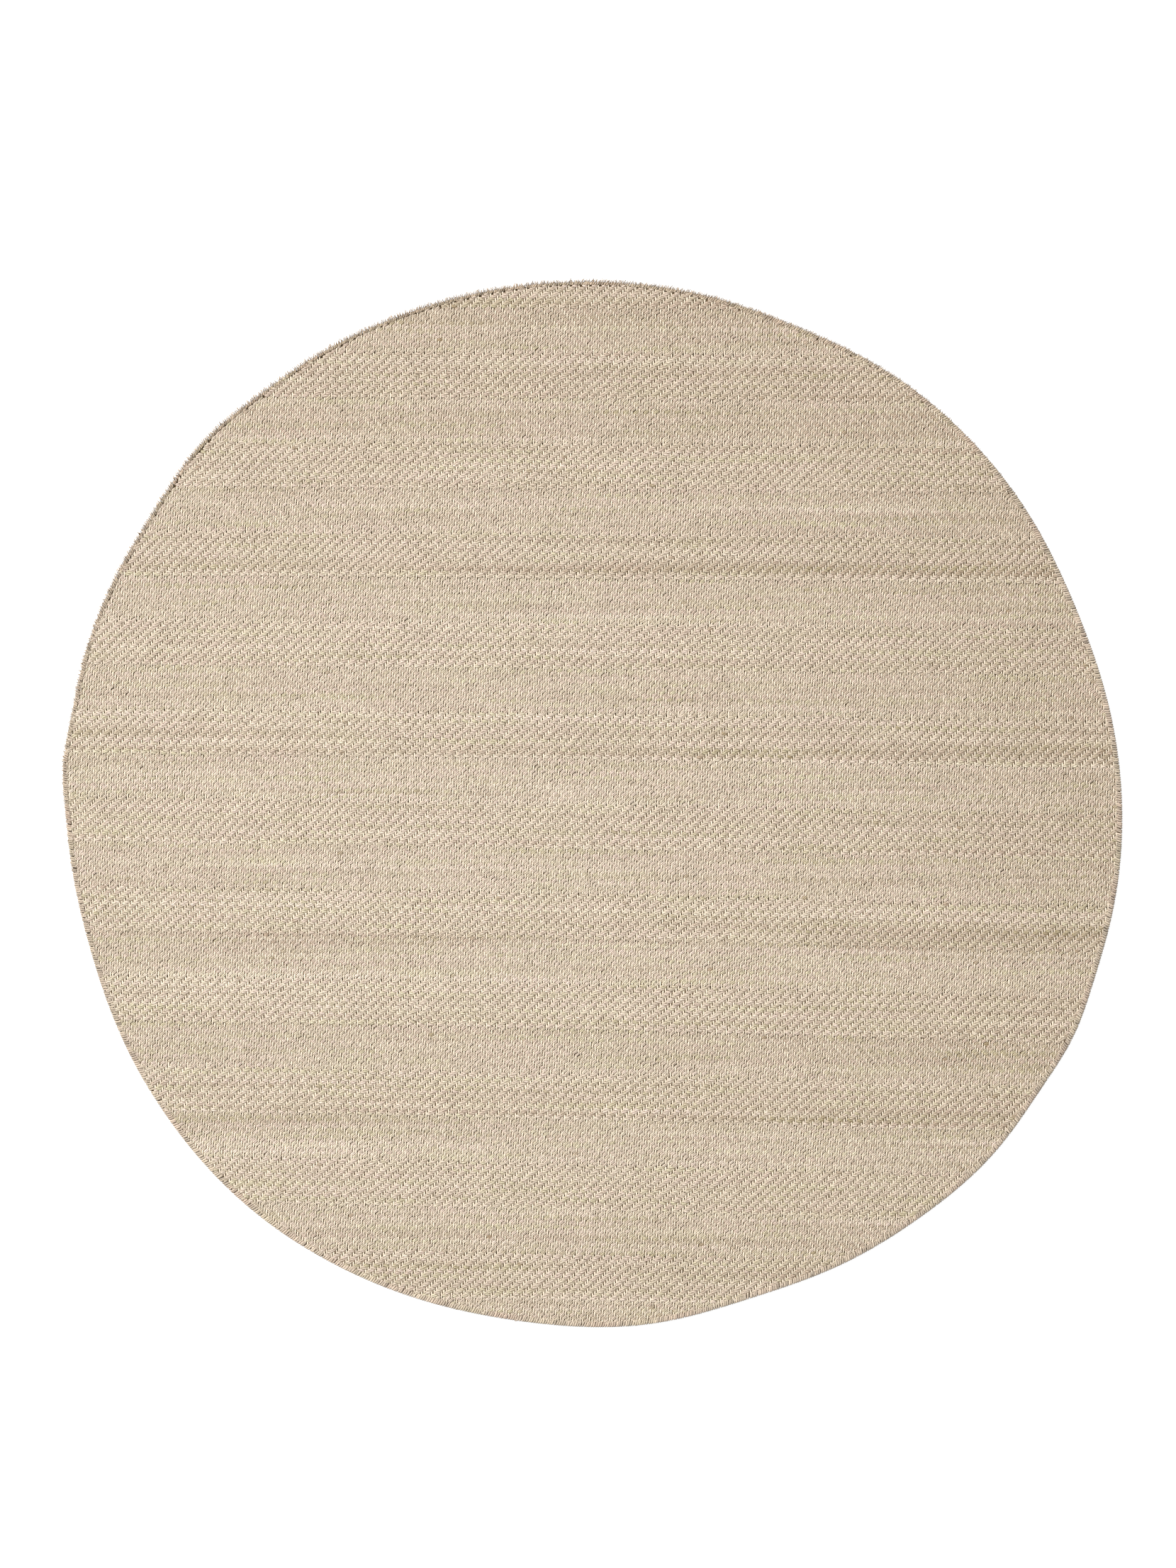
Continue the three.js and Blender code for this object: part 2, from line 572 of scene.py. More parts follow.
def patchy_noise(x, y, length_x, length_y, seed, terms=9):
    """A smooth random pattern over the cloth, about -1 to 1, in patches of about these lengths."""
    rng = np.random.default_rng(seed)
    total = np.zeros_like(x)
    for _ in range(terms):
        turn = rng.uniform(0, 2 * math.pi)
        size = rng.uniform(0.6, 1.6)
        wave_x = 2 * math.pi * math.cos(turn) / (length_x * size)
        wave_y = 2 * math.pi * math.sin(turn) / (length_y * size)
        total += np.sin(x * wave_x + y * wave_y + rng.uniform(0, 2 * math.pi))
    return total / math.sqrt(terms / 2)


def sum_of_patches(x, y, table):
    """The patchy noises of a table, added up."""
    return sum(row["share"] * patchy_noise(x, y, row["along"], row["up"], row["seed"]) for row in table)


def chance_by_pick(pick, seed):
    """A random number for each float, the same all along its pick."""
    chance = np.random.default_rng(seed).standard_normal(int(pick.max() - pick.min()) + 1)
    return chance[(pick - pick.min()).astype(int)]


class Loom:
    """Where each warp and pick lies, and which is on top where they cross."""

    def __init__(self):
        weave = bpy.context.scene.rug_weave
        self.weave = weave
        reach = float(OUTLINE[1].max())
        half_warps = math.ceil(reach / weave.warp_pitch) + 2 * TWILL_REPEAT
        half_picks = math.ceil(reach / weave.pick_pitch) + 2 * TWILL_REPEAT
        self.warps = np.arange(-half_warps, half_warps + 1)
        self.picks = np.arange(-half_picks, half_picks + 1)
        rng = np.random.default_rng(11)
        self.warp_x = self.set_warps(rng)
        uneven = PICK_CHANCE["place"] * rng.standard_normal(len(self.picks))
        self.pick_y = weave.pick_pitch * (self.picks + uneven)
        self.shift = self.twill_shift(self.picks)

    def set_warps(self, rng):
        """The warps' places along X: the mean sett, its wide and close stretches and a little chance."""
        at = self.warps * self.weave.warp_pitch
        sett = np.ones(len(at))
        for change in SETT_CHANGES:
            sett += change["wider"] * np.exp(-0.5 * ((at - change["at"]) / change["spread"]) ** 2)
        steps = self.weave.warp_pitch * (sett + WARP_CHANCE["pitch"] * rng.standard_normal(len(at)))
        places = np.cumsum(steps)
        return places - places[len(at) // 2]

    def twill_shift(self, picks):
        """How many warps the twill has stepped to the right at each pick: it climbs, then turns back."""
        band = self.weave.picks_per_band
        return band - np.abs((picks + self.weave.first_pick) % (2 * band) - band)

    def warp_is_up(self):
        """A table of picks by warps, true where the warp lies over the weft."""
        return (self.warps[None, :] - self.shift[:, None]) % TWILL_REPEAT < TWILL_REPEAT // 2

    def lie(self, x, y):
        """Where a point of the loom's true grid lies on the finished rug."""
        weave = self.weave
        sway = weave.sway * np.sin(2 * math.pi * (y - SWAY_FROM) / weave.sway_length) + WARP_STEP * y
        fall = weave.droop - weave.droop_change * np.tanh((y - DROOP_CHANGES["at"]) / DROOP_CHANGES["over"])
        fall = fall * x * (1 + DROOP_STEEPER * x)
        wobble_x = weave.wobble * patchy_noise(x, y, **WOBBLE_SIDEWAYS, seed=21)
        wobble_y = weave.wobble * patchy_noise(x, y, **WOBBLE_UPWARDS, seed=22)
        return x + sway + wobble_x, y - fall + wobble_y


def shade_of(x, y):
    """Brightness of the weft over the rug: the abrash, lots of a few picks, and the painted falloff of light.
    """
    strength = STREAK_STRENGTH
    change = patchy_noise(x, y, strength["along"], strength["up"], seed=31)
    shown = np.clip(strength["mean"] + strength["change"] * change, strength["least"], strength["most"])
    shade = np.zeros_like(y)
    for streak in ABRASH:
        shade += streak["shade"] * np.exp(-0.5 * ((y - streak["at"]) / streak["spread"]) ** 2)
    shade = shade * shown + sum_of_patches(x, y, SHADE_PATCHES)
    # Painted shade: darker towards the edge, the right and the top, where the light falls off.
    return shade - PAINTED_FALLOFF["edge"] * (x**2 + y**2) - PAINTED_FALLOFF["right"] * x - PAINTED_FALLOFF["top"] * y


def weft_colour(x, y, pick, rng):
    """Colour of each weft float: its lot's hue, the abrash, its own chance and the painted falloff of light.
    """
    colours = bpy.context.scene.rug_colours
    greige, pink, olive = (np.array(c) for c in (colours.weft, colours.weft_pink, colours.weft_olive))
    hue = PINKER["mean"] + PINKER["top"] * y + sum_of_patches(x, y, HUE_PATCHES)
    hue += PICK_CHANCE["hue"] * chance_by_pick(pick, seed=41)
    hue += WEFT_CHANCE["hue"] * rng.standard_normal(len(x))
    towards_pink = np.clip(hue, 0, PINKER["limit"])[:, None]
    towards_olive = np.clip(-hue, 0, PINKER["limit"])[:, None]
    colour = greige + (pink - greige) * towards_pink + (olive - greige) * towards_olive
    shade = shade_of(x, y) + PICK_CHANCE["shade"] * chance_by_pick(pick, seed=43)
    shade += WEFT_CHANCE["shade"] * rng.standard_normal(len(x))
    flecked = rng.random(len(x)) < FLECKS["share"]
    shade[flecked] -= rng.uniform(FLECKS["least"], FLECKS["most"], flecked.sum())
    return np.clip(colour * (1 + shade[:, None] * BROWNER), *COLOUR_RANGE)


def warp_colour(x, y, rng):
    """Colour of each warp float: cream, with a little chance, and a share of the wefts' shade painted on it.
    """
    cream = np.array(bpy.context.scene.rug_colours.warp)
    # Painted shade: the wefts' streaks and the painted falloff at a share, as light thrown back by the wefts.
    shade = WARP_PAINTED_SHADE * shade_of(x, y) + WARP_CHANCE["shade"] * rng.standard_normal(len(x))
    return np.clip(cream * (1 + shade)[:, None], *COLOUR_RANGE)


# Making meshes


def select_nothing():
    """Leaves object mode with nothing selected."""
    if bpy.context.object and bpy.context.object.mode != "OBJECT":
        bpy.ops.object.mode_set(mode="OBJECT")
    bpy.ops.object.select_all(action="DESELECT")


def select_points(obj, wanted):
    """Enters edit mode with only the wanted points of a mesh selected."""
    bpy.ops.object.mode_set(mode="EDIT")
    bpy.ops.mesh.select_mode(type="VERT")
    bpy.ops.mesh.select_all(action="DESELECT")
    bpy.ops.object.mode_set(mode="OBJECT")
    for vertex in obj.data.vertices:
        vertex.select = wanted(vertex.co)
    bpy.ops.object.mode_set(mode="EDIT")


def smooth_above(pattern):
    """Shades a pattern smooth, its underside marked off by sharp edges so that its flanks stay bright."""
    select_nothing()
    pattern.select_set(True)
    bpy.context.view_layer.objects.active = pattern
    bpy.ops.object.shade_smooth()
    for face in pattern.data.polygons:
        face.select = face.normal.z < 0
    bpy.ops.object.mode_set(mode="EDIT")
    bpy.ops.mesh.select_mode(type="FACE")
    bpy.ops.mesh.region_to_loop()
    bpy.ops.mesh.mark_sharp()
    bpy.ops.object.mode_set(mode="OBJECT")


def plump_float(body_share, tip_height):
    """One yarn float to copy: one long, one wide and one high, with a crown, two sides and low tips."""
    section_width, section_height = math.sin(math.pi / 3), 0.75  # of a triangle that is 0.5 in radius
    select_nothing()
    bpy.ops.mesh.primitive_cylinder_add(
        vertices=3,
        radius=0.5,
        depth=body_share,
        end_fill_type="TRIFAN",
        rotation=(math.pi / 2, 0, math.pi / 2),
    )
    yarn = bpy.context.object
    bpy.ops.object.transform_apply(location=True, rotation=True, scale=True)
    bpy.ops.object.mode_set(mode="EDIT")
    bpy.ops.mesh.select_all(action="SELECT")
    bpy.ops.transform.resize(value=(1, 1 / section_width, 1 / section_height))
    bpy.ops.object.mode_set(mode="OBJECT")
    lowest = min(v.co.z for v in yarn.data.vertices)
    select_points(yarn, lambda co: True)
    bpy.ops.transform.translate(value=(0, 0, -lowest))
    bpy.ops.object.mode_set(mode="OBJECT")

    def is_tip(co):
        return abs(co.y) < HAIR and co.z < 0.9

    tip_now = next(v.co.z for v in yarn.data.vertices if is_tip(v.co))
    select_points(yarn, is_tip)
    bpy.ops.transform.resize(value=(1 / body_share, 1, 1))
    bpy.ops.transform.translate(value=(0, 0, tip_height - tip_now))
    bpy.ops.object.mode_set(mode="OBJECT")
    smooth_above(yarn)
    return yarn


def join_copies(name, mesh, shape):
    """One mesh with the pattern mesh's faces on each row of shape, which holds a copy's points."""
    edges = np.array([edge.vertices for edge in mesh.edges])
    sharp = np.array([edge.use_edge_sharp for edge in mesh.edges])
    corners = np.array([corner.vertex_index for corner in mesh.loops])
    corner_edges = np.array([corner.edge_index for corner in mesh.loops])
    starts = np.array([face.loop_start for face in mesh.polygons])
    count, points = shape.shape[:2]
    copies = np.arange(count)[:, None]
    joined = bpy.data.meshes.new(name)
    joined.vertices.add(count * points)
    joined.vertices.foreach_set("co", shape.astype(np.float32).ravel())
    joined.edges.add(count * len(edges))
    joined.edges.foreach_set("vertices", (edges + copies[:, :, None] * points).astype(np.int32).ravel())
    joined.edges.foreach_set("use_edge_sharp", np.tile(sharp, count))
    joined.loops.add(count * len(corners))
    joined.loops.foreach_set("vertex_index", (corners + copies * points).astype(np.int32).ravel())
    joined.loops.foreach_set("edge_index", (corner_edges + copies * len(edges)).astype(np.int32).ravel())
    joined.polygons.add(count * len(starts))
    joined.polygons.foreach_set("loop_start", (starts + copies * len(corners)).astype(np.int32).ravel())
    joined.polygons.foreach_set("use_smooth", np.ones(count * len(starts), bool))
    joined.update()
    return joined


def tint_copies(joined, colours, heights, recess_shade):
    """Gives each copy its colour, with painted shade at the pattern's lowest points, down between its
    neighbours.
    """
    tint = joined.attributes.new("yarn_colour", "FLOAT_COLOR", "POINT")
    # Painted shade: the lower a point lies in its pattern, the more of the recess shade darkens it.
    depth = (1 - heights[:, None]) ** 2
    rgba = np.ones((len(colours), len(heights), 4))
    rgba[:, :, :3] = colours[:, None, :] * (1 - depth * (1 - np.array(recess_shade)))[None]
    tint.data.foreach_set("color", rgba.astype(np.float32).ravel())


def map_along_yarns(joined, count, corner_places, seed):
    """A map that runs along and across each copy's yarn, and starts somewhere else on each."""
    rng = np.random.default_rng(seed)
    offsets = rng.uniform(0, YARN_MAP_SPREAD, (count, 1, 2))
    yarn_map = joined.uv_layers.new(name="yarn")
    yarn_map.uv.foreach_set("vector", (corner_places[None] + offsets).astype(np.float32).ravel())


def map_for_baking(joined, shape, places, corners):
    """A map from above: the piece's left half fills the lower half of the map, its right half the upper."""
    flat = shape.reshape(-1, 3)
    low, high = flat.min(0) - MM, flat.max(0) + MM
    middle = (low[0] + high[0]) / 2
    on_right = (places[:, 0] > middle).astype(float)[:, None]
    width = (high[0] - low[0]) / 2 + BAKE_OVERLAP
    u = (shape[:, :, 0] - low[0] - on_right * (middle - low[0] - BAKE_OVERLAP)) / width
    v = (shape[:, :, 1] - low[1]) / (high[1] - low[1])
    v = (v + on_right) / 2
    bake_map = joined.uv_layers.new(name="OFBake")
    uv = np.stack([u[:, corners], v[:, corners]], axis=-1)
    bake_map.uv.foreach_set("vector", uv.astype(np.float32).ravel())
    joined.uv_layers.active = bake_map


def lay_copies(name, pattern, places, along, across, up, colours, recess_shade, seed, twist=None):
    """One piece that holds a copy of the pattern at each place, turned and stretched by three vectors each.

    A twist, if given, is how far one corner of each copy is lifted and the next one lowered.
    """
    points = np.array([v.co for v in pattern.data.vertices])
    corners = np.array([corner.vertex_index for corner in pattern.data.loops])
    shape = (
        places[:, None, :]
        + points[None, :, 0, None] * along[:, None, :]
        + points[None, :, 1, None] * across[:, None, :]
        + points[None, :, 2, None] * up[:, None, :]
    )
    if twist is not None:
        shape[:, :, 2] += 4 * points[None, :, 0] * points[None, :, 1] * twist[:, None]
    joined = join_copies(name, pattern.data, shape)
    share = (points - points.min(0)) / (points.max(0) - points.min(0))
    tint_copies(joined, colours, share[:, 2], recess_shade)
    map_along_yarns(joined, len(places), share[corners, :2], seed)
    map_for_baking(joined, shape, places, corners)
    piece = bpy.data.objects.new(name, joined)
    bpy.context.scene.collection.objects.link(piece)
    return piece


def throw_away(pattern):
    """Removes a pattern once its copies are laid."""
    mesh = pattern.data
    bpy.data.objects.remove(pattern)
    bpy.data.meshes.remove(mesh)


# Materials


def add_node(tree, kind, settings=None, **values):
    """Adds one node, sets its own settings, and the values of its named inputs."""
    made = tree.nodes.new(kind)
    for key, value in (settings or {}).items():
        setattr(made, key, value)
    for key, value in values.items():
        made.inputs[key.replace("_", " ")].default_value = value
    return made


def feed(tree, socket, value):
    """Links a socket to another node's output, or sets it to a plain value."""
    if isinstance(value, bpy.types.NodeSocket):
        tree.links.new(value, socket)
    else:
        socket.default_value = value


def maths(tree, operation, *values):
    """A Math node on links or plain numbers. Returns its output."""
    made = tree.nodes.new("ShaderNodeMath")
    made.operation = operation
    for socket, value in zip(made.inputs, values):
        feed(tree, socket, value)
    return made.outputs[0]


def mix_colours(tree, share, first, second):
    """A Mix node for colours, on links or plain values. Returns its output."""
    made = tree.nodes.new("ShaderNodeMix")
    made.data_type = "RGBA"
    for socket, value in zip((made.inputs[0], made.inputs[6], made.inputs[7]), (share, first, second)):
        feed(tree, socket, value)
    return made.outputs[2]


def smooth_step(tree, value, start, end):
    """0 before start, 1 past end and a smooth rise between. Returns the output."""
    step = add_node(
        tree, "ShaderNodeMapRange", {"interpolation_type": "SMOOTHSTEP"}, From_Min=start, From_Max=end
    )
    tree.links.new(value, step.inputs["Value"])
    return step.outputs[0]


def place_group(tree, name, **values):
    """Places a shared effect with its own values."""
    return add_node(tree, "ShaderNodeGroup", {"node_tree": bpy.data.node_groups[name]}, **values)


def new_material(name):
    """A material with an empty node tree. Returns both."""
    material = bpy.data.materials.new(name)
    material.use_nodes = True
    material.node_tree.nodes.clear()
    return material, material.node_tree


def new_group(name, inputs, outputs):
    """An empty shader node group with these sockets: name and kind, and the default of an input."""
    group = bpy.data.node_groups.new(name, "ShaderNodeTree")
    for label, kind, default in inputs:
        socket = group.interface.new_socket(label, in_out="INPUT", socket_type="NodeSocket" + kind)
        if default is not None:
            socket.default_value = default
    for label, kind in outputs:
        group.interface.new_socket(label, in_out="OUTPUT", socket_type="NodeSocket" + kind)
    entry = group.nodes.new("NodeGroupInput")
    leave = group.nodes.new("NodeGroupOutput")
    return group, entry, leave


def spun_wool_group():
    """Plies and fibres that run slantwise along a yarn. Its vector runs along and across the yarn."""
    group, entry, leave = new_group(
        "Spun wool",
        [
            ("Vector", "Vector", None),
            ("Plies", "Float", 3.0),
            ("Slant", "Float", 1.6),
            ("Fibres", "Float", 2.2),
        ],
        [("Height", "Float"), ("Tone", "Float")],
    )
    parts = group.nodes.new("ShaderNodeSeparateXYZ")
    group.links.new(entry.outputs["Vector"], parts.inputs[0])
    across = maths(group, "MULTIPLY", parts.outputs["Y"], entry.outputs["Plies"])
    twisted = maths(group, "MULTIPLY", parts.outputs["X"], entry.outputs["Slant"])
    lay = maths(group, "SUBTRACT", across, twisted)
    ply = maths(group, "SINE", maths(group, "MULTIPLY", lay, 2 * math.pi))
    ply = maths(group, "MULTIPLY_ADD", ply, 0.5, 0.5)

    stretched = group.nodes.new("ShaderNodeCombineXYZ")
    group.links.new(maths(group, "MULTIPLY", parts.outputs["X"], 2.5), stretched.inputs["X"])
    group.links.new(maths(group, "MULTIPLY", lay, entry.outputs["Fibres"]), stretched.inputs["Y"])
    fibres = add_node(
        group, "ShaderNodeTexNoise", {"noise_dimensions": "2D"}, Scale=1.0, Detail=3.0, Roughness=0.6
    )
    group.links.new(stretched.outputs[0], fibres.inputs["Vector"])
    for output, ply_share, fibre_share in (("Height", 0.6, 0.7), ("Tone", 0.45, 0.9)):
        plies = maths(group, "MULTIPLY", ply, ply_share)
        total = maths(group, "MULTIPLY_ADD", fibres.outputs[0], fibre_share, plies)
        group.links.new(total, leave.inputs[output])
    return group


def heather_group():
    """Stray darker, paler and warmer fibres in a wool, and the shade between its plies."""
    group, entry, leave = new_group(
        "Heather",
        [
            ("Color", "Color", (0.6, 0.5, 0.4, 1)),
            ("Vector", "Vector", None),
            ("Tone", "Float", 0.5),
            ("Depth", "Float", 0.3),
            ("Flecks", "Float", 0.25),
        ],
        [("Color", "Color")],
    )
    recess_shade = maths(group, "SUBTRACT", entry.outputs["Tone"], 0.68)
    recess_shade = maths(group, "MULTIPLY", recess_shade, entry.outputs["Depth"])
    # Shade takes a little more of the blue than of the red, as it does down among real fibres.
    warmed = group.nodes.new("ShaderNodeVectorMath")
    warmed.operation = "MULTIPLY_ADD"
    warmed.inputs[1].default_value = (0.93, 1.0, 1.08)
    warmed.inputs[2].default_value = (1.0, 1.0, 1.0)
    group.links.new(recess_shade, warmed.inputs[0])
    lit = group.nodes.new("ShaderNodeVectorMath")
    lit.operation = "MULTIPLY"
    group.links.new(entry.outputs["Color"], lit.inputs[0])
    group.links.new(warmed.outputs[0], lit.inputs[1])

    specks = add_node(
        group, "ShaderNodeTexNoise", {"noise_dimensions": "3D"}, Scale=520.0, Detail=2.0, Roughness=0.7
    )
    group.links.new(entry.outputs["Vector"], specks.inputs["Vector"])
    dark = smooth_step(group, specks.outputs[0], 0.60, 0.74)
    share = maths(group, "MULTIPLY", dark, entry.outputs["Flecks"])
    darker = mix_colours(group, share, lit.outputs[0], DARK_FIBRE)
    pale = smooth_step(group, specks.outputs[0], 0.42, 0.28)
    share = maths(group, "MULTIPLY", pale, entry.outputs["Flecks"])
    group.links.new(mix_colours(group, share, darker, PALE_FIBRE), leave.inputs["Color"])
    return group


def twill_group():
    """The pointed twill drawn flat, for the underside of the ground cloth, where no yarns are laid."""
    group, entry, leave = new_group(
        "Flat twill",
        [
            ("Vector", "Vector", None),
            ("Warp pitch", "Float", 4.64 * MM),
            ("Pick pitch", "Float", 4.5 * MM),
            ("Picks per band", "Float", 19.0),
            ("First pick", "Float", 19.0),
        ],
        [("Warp", "Float"), ("Height", "Float"), ("Gap", "Float")],
    )
    parts = group.nodes.new("ShaderNodeSeparateXYZ")
    group.links.new(entry.outputs["Vector"], parts.inputs[0])
    warp_at = maths(group, "DIVIDE", parts.outputs["X"], entry.outputs["Warp pitch"])
    pick_at = maths(group, "DIVIDE", parts.outputs["Y"], entry.outputs["Pick pitch"])
    pick = maths(group, "ADD", maths(group, "FLOOR", pick_at), entry.outputs["First pick"])
    shift = maths(group, "PINGPONG", pick, entry.outputs["Picks per band"])
    step = maths(group, "SUBTRACT", maths(group, "FLOOR", warp_at), shift)
    phase = maths(group, "FLOORED_MODULO", step, float(TWILL_REPEAT))
    over = maths(group, "GREATER_THAN", phase, TWILL_REPEAT / 2 - 0.5)
    off_warp = maths(group, "ABSOLUTE", maths(group, "SUBTRACT", maths(group, "FRACT", warp_at), 0.5))
    off_pick = maths(group, "ABSOLUTE", maths(group, "SUBTRACT", maths(group, "FRACT", pick_at), 0.5))
    thin = smooth_step(group, off_warp, 0.3, 0.2)
    warp = maths(group, "MULTIPLY", over, thin)
    gap = maths(group, "MULTIPLY", over, maths(group, "SUBTRACT", 1.0, thin))
    weft = maths(group, "SUBTRACT", 1.0, maths(group, "MULTIPLY", off_pick, 1.6))
    height = maths(group, "MAXIMUM", warp, maths(group, "MULTIPLY", weft, maths(group, "SUBTRACT", 1.0, gap)))
    group.links.new(warp, leave.inputs["Warp"])
    group.links.new(height, leave.inputs["Height"])
    group.links.new(gap, leave.inputs["Gap"])
    return group


def wool_shader(tree, colour, height, roughness, bump):
    """The Principled shader of a wool: matt, a little sheen, and relief from a height."""
    shader = add_node(
        tree,
        "ShaderNodeBsdfPrincipled",
        Sheen_Weight=0.06,
        Sheen_Roughness=0.5,
        Specular_IOR_Level=0.1,
    )
    relief = add_node(tree, "ShaderNodeBump", Strength=0.6, Distance=bump)
    rough = add_node(tree, "ShaderNodeMapRange", None, To_Min=roughness, To_Max=1.0)
    leave = tree.nodes.new("ShaderNodeOutputMaterial")
    tree.links.new(colour, shader.inputs["Base Color"])
    tree.links.new(height, relief.inputs["Height"])
    tree.links.new(height, rough.inputs["Value"])
    tree.links.new(relief.outputs[0], shader.inputs["Normal"])
    tree.links.new(rough.outputs[0], shader.inputs["Roughness"])
    tree.links.new(shader.outputs[0], leave.inputs["Surface"])


def yarn_material(name, plies, slant, depth, flecks):
    """A wool whose colour comes with each copy and whose plies follow its yarn."""
    material, tree = new_material(name)
    yarn_map = add_node(tree, "ShaderNodeUVMap", {"uv_map": "yarn"})
    spun = place_group(tree, "Spun wool", Plies=plies, Slant=slant)
    tree.links.new(yarn_map.outputs[0], spun.inputs["Vector"])
    # Each copy's colour, with the painted shade of its low points and of the light's falloff.
    tint = add_node(tree, "ShaderNodeAttribute", {"attribute_name": "yarn_colour"})
    place = tree.nodes.new("ShaderNodeTexCoord")
    heather = place_group(tree, "Heather", Depth=depth, Flecks=flecks)
    tree.links.new(tint.outputs["Color"], heather.inputs["Color"])
    tree.links.new(place.outputs["Object"], heather.inputs["Vector"])
    tree.links.new(spun.outputs["Tone"], heather.inputs["Tone"])
    wool_shader(tree, heather.outputs["Color"], spun.outputs["Height"], roughness=0.85, bump=0.5 * MM)
    return material


def ground_material():
    """The low crossings of the cloth in a painted shade, and the same twill drawn on its underside."""
    weave, colours = bpy.context.scene.rug_weave, bpy.context.scene.rug_colours
    material, tree = new_material("Ground wool")
    place = tree.nodes.new("ShaderNodeTexCoord")
    twill = place_group(
        tree,
        "Flat twill",
        Warp_pitch=weave.warp_pitch,
        Pick_pitch=weave.pick_pitch,
        Picks_per_band=float(weave.picks_per_band),
        First_pick=float(weave.first_pick),
    )
    tree.links.new(place.outputs["Object"], twill.inputs["Vector"])
    parts = tree.nodes.new("ShaderNodeSeparateXYZ")
    tree.links.new(place.outputs["Object"], parts.inputs[0])
    under = maths(tree, "LESS_THAN", parts.outputs["Z"], 0.5 * MM)
    # Painted shade: the drawn twill's gaps beside the warps, where the weft dives, take the dark ground
    # colour.
    weft = mix_colours(tree, twill.outputs["Gap"], (*colours.weft, 1), (*colours.ground, 1))
    drawn = mix_colours(tree, twill.outputs["Warp"], weft, (*colours.warp, 1))
    heather = place_group(tree, "Heather", Depth=0.5, Flecks=0.3)
    tree.links.new(drawn, heather.inputs["Color"])
    tree.links.new(place.outputs["Object"], heather.inputs["Vector"])
    tree.links.new(twill.outputs["Height"], heather.inputs["Tone"])
    # Painted shade: the sheet's top, seen only down in the crossings, takes the dark ground colour.
    colour = mix_colours(tree, under, (*colours.ground, 1), heather.outputs["Color"])
    wool_shader(tree, colour, twill.outputs["Height"], roughness=0.9, bump=0.8 * MM)
    return material


# Operators


class RUG_OT_ground_cloth(bpy.types.Operator):
    """Makes the low sheet that the yarns lie on, from the packed field"""

    bl_idname = "rug.ground_cloth"
    bl_label = "Ground cloth"

    def execute(self, context):
        height = context.scene.rug_yarn.ground_height
        select_nothing()
        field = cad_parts["woven_field"]
        field.select_set(True)
        context.view_layer.objects.active = field
        bpy.ops.object.duplicate()
        ground = context.object
        ground.name = "ground_cloth"
        ground.data.name = "ground_cloth"
        for key in list(ground.keys()):
            del ground[key]
        ground.parent = None
        bpy.ops.object.mode_set(mode="EDIT")
        bpy.ops.mesh.select_all(action="SELECT")
        bpy.ops.mesh.remove_doubles(threshold=WELD)
        bpy.ops.object.mode_set(mode="OBJECT")
        select_points(ground, lambda co: co.z > height)
        bpy.ops.transform.resize(value=(1, 1, 0))
        bpy.ops.object.mode_set(mode="OBJECT")
        level = max(v.co.z for v in ground.data.vertices)
        select_points(ground, lambda co: co.z > height)
        bpy.ops.transform.translate(value=(0, 0, height - level))
        bpy.ops.object.mode_set(mode="OBJECT")
        self.draw_in_the_rim(ground)
        ground.data.materials.clear()
        ground.data.materials.append(ground_material())
        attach(ground, "root")
        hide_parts("woven_field")
        return {"FINISHED"}

    def draw_in_the_rim(self, ground):
        """Keeps the sheet's rim under the roll where the cut ends stand out."""
        points = np.empty(len(ground.data.vertices) * 3)
        ground.data.vertices.foreach_get("co", points)
        points = points.reshape(-1, 3)
        x, y = points[:, 0], points[:, 1]
        short = roll_start(np.arctan2(y, x)) + RIM_COVER - inset_of(x, y)
        points[:, :2] *= (1 - np.clip(short, 0, None) / np.maximum(np.hypot(x, y), 1e-9))[:, None]
        ground.data.vertices.foreach_set("co", points.ravel())
        ground.data.update()


WEFT_STRIPS = ("weft_lower", "weft_middle", "weft_upper")
WARP_STRIPS = ("warp_lower", "warp_middle", "warp_upper")


def lay_strips(names, pattern, material, lie, colours, recess_shade, seed, twist):
    """Lays copies in strips with about as many in each, from the lowest to the highest.

    The lie is each copy's place and its three vectors, as lay_copies takes them.
    """
    order = np.argsort(lie[0][:, 1], kind="stable")
    for name, chosen in zip(names, np.array_split(order, len(names))):
        chosen = np.sort(chosen)
        here = [part[chosen] for part in lie]
        piece = lay_copies(name, pattern, *here, colours[chosen], recess_shade, seed, twist[chosen])
        piece.data.materials.append(material)
        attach(piece, "root")
        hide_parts("woven_field")


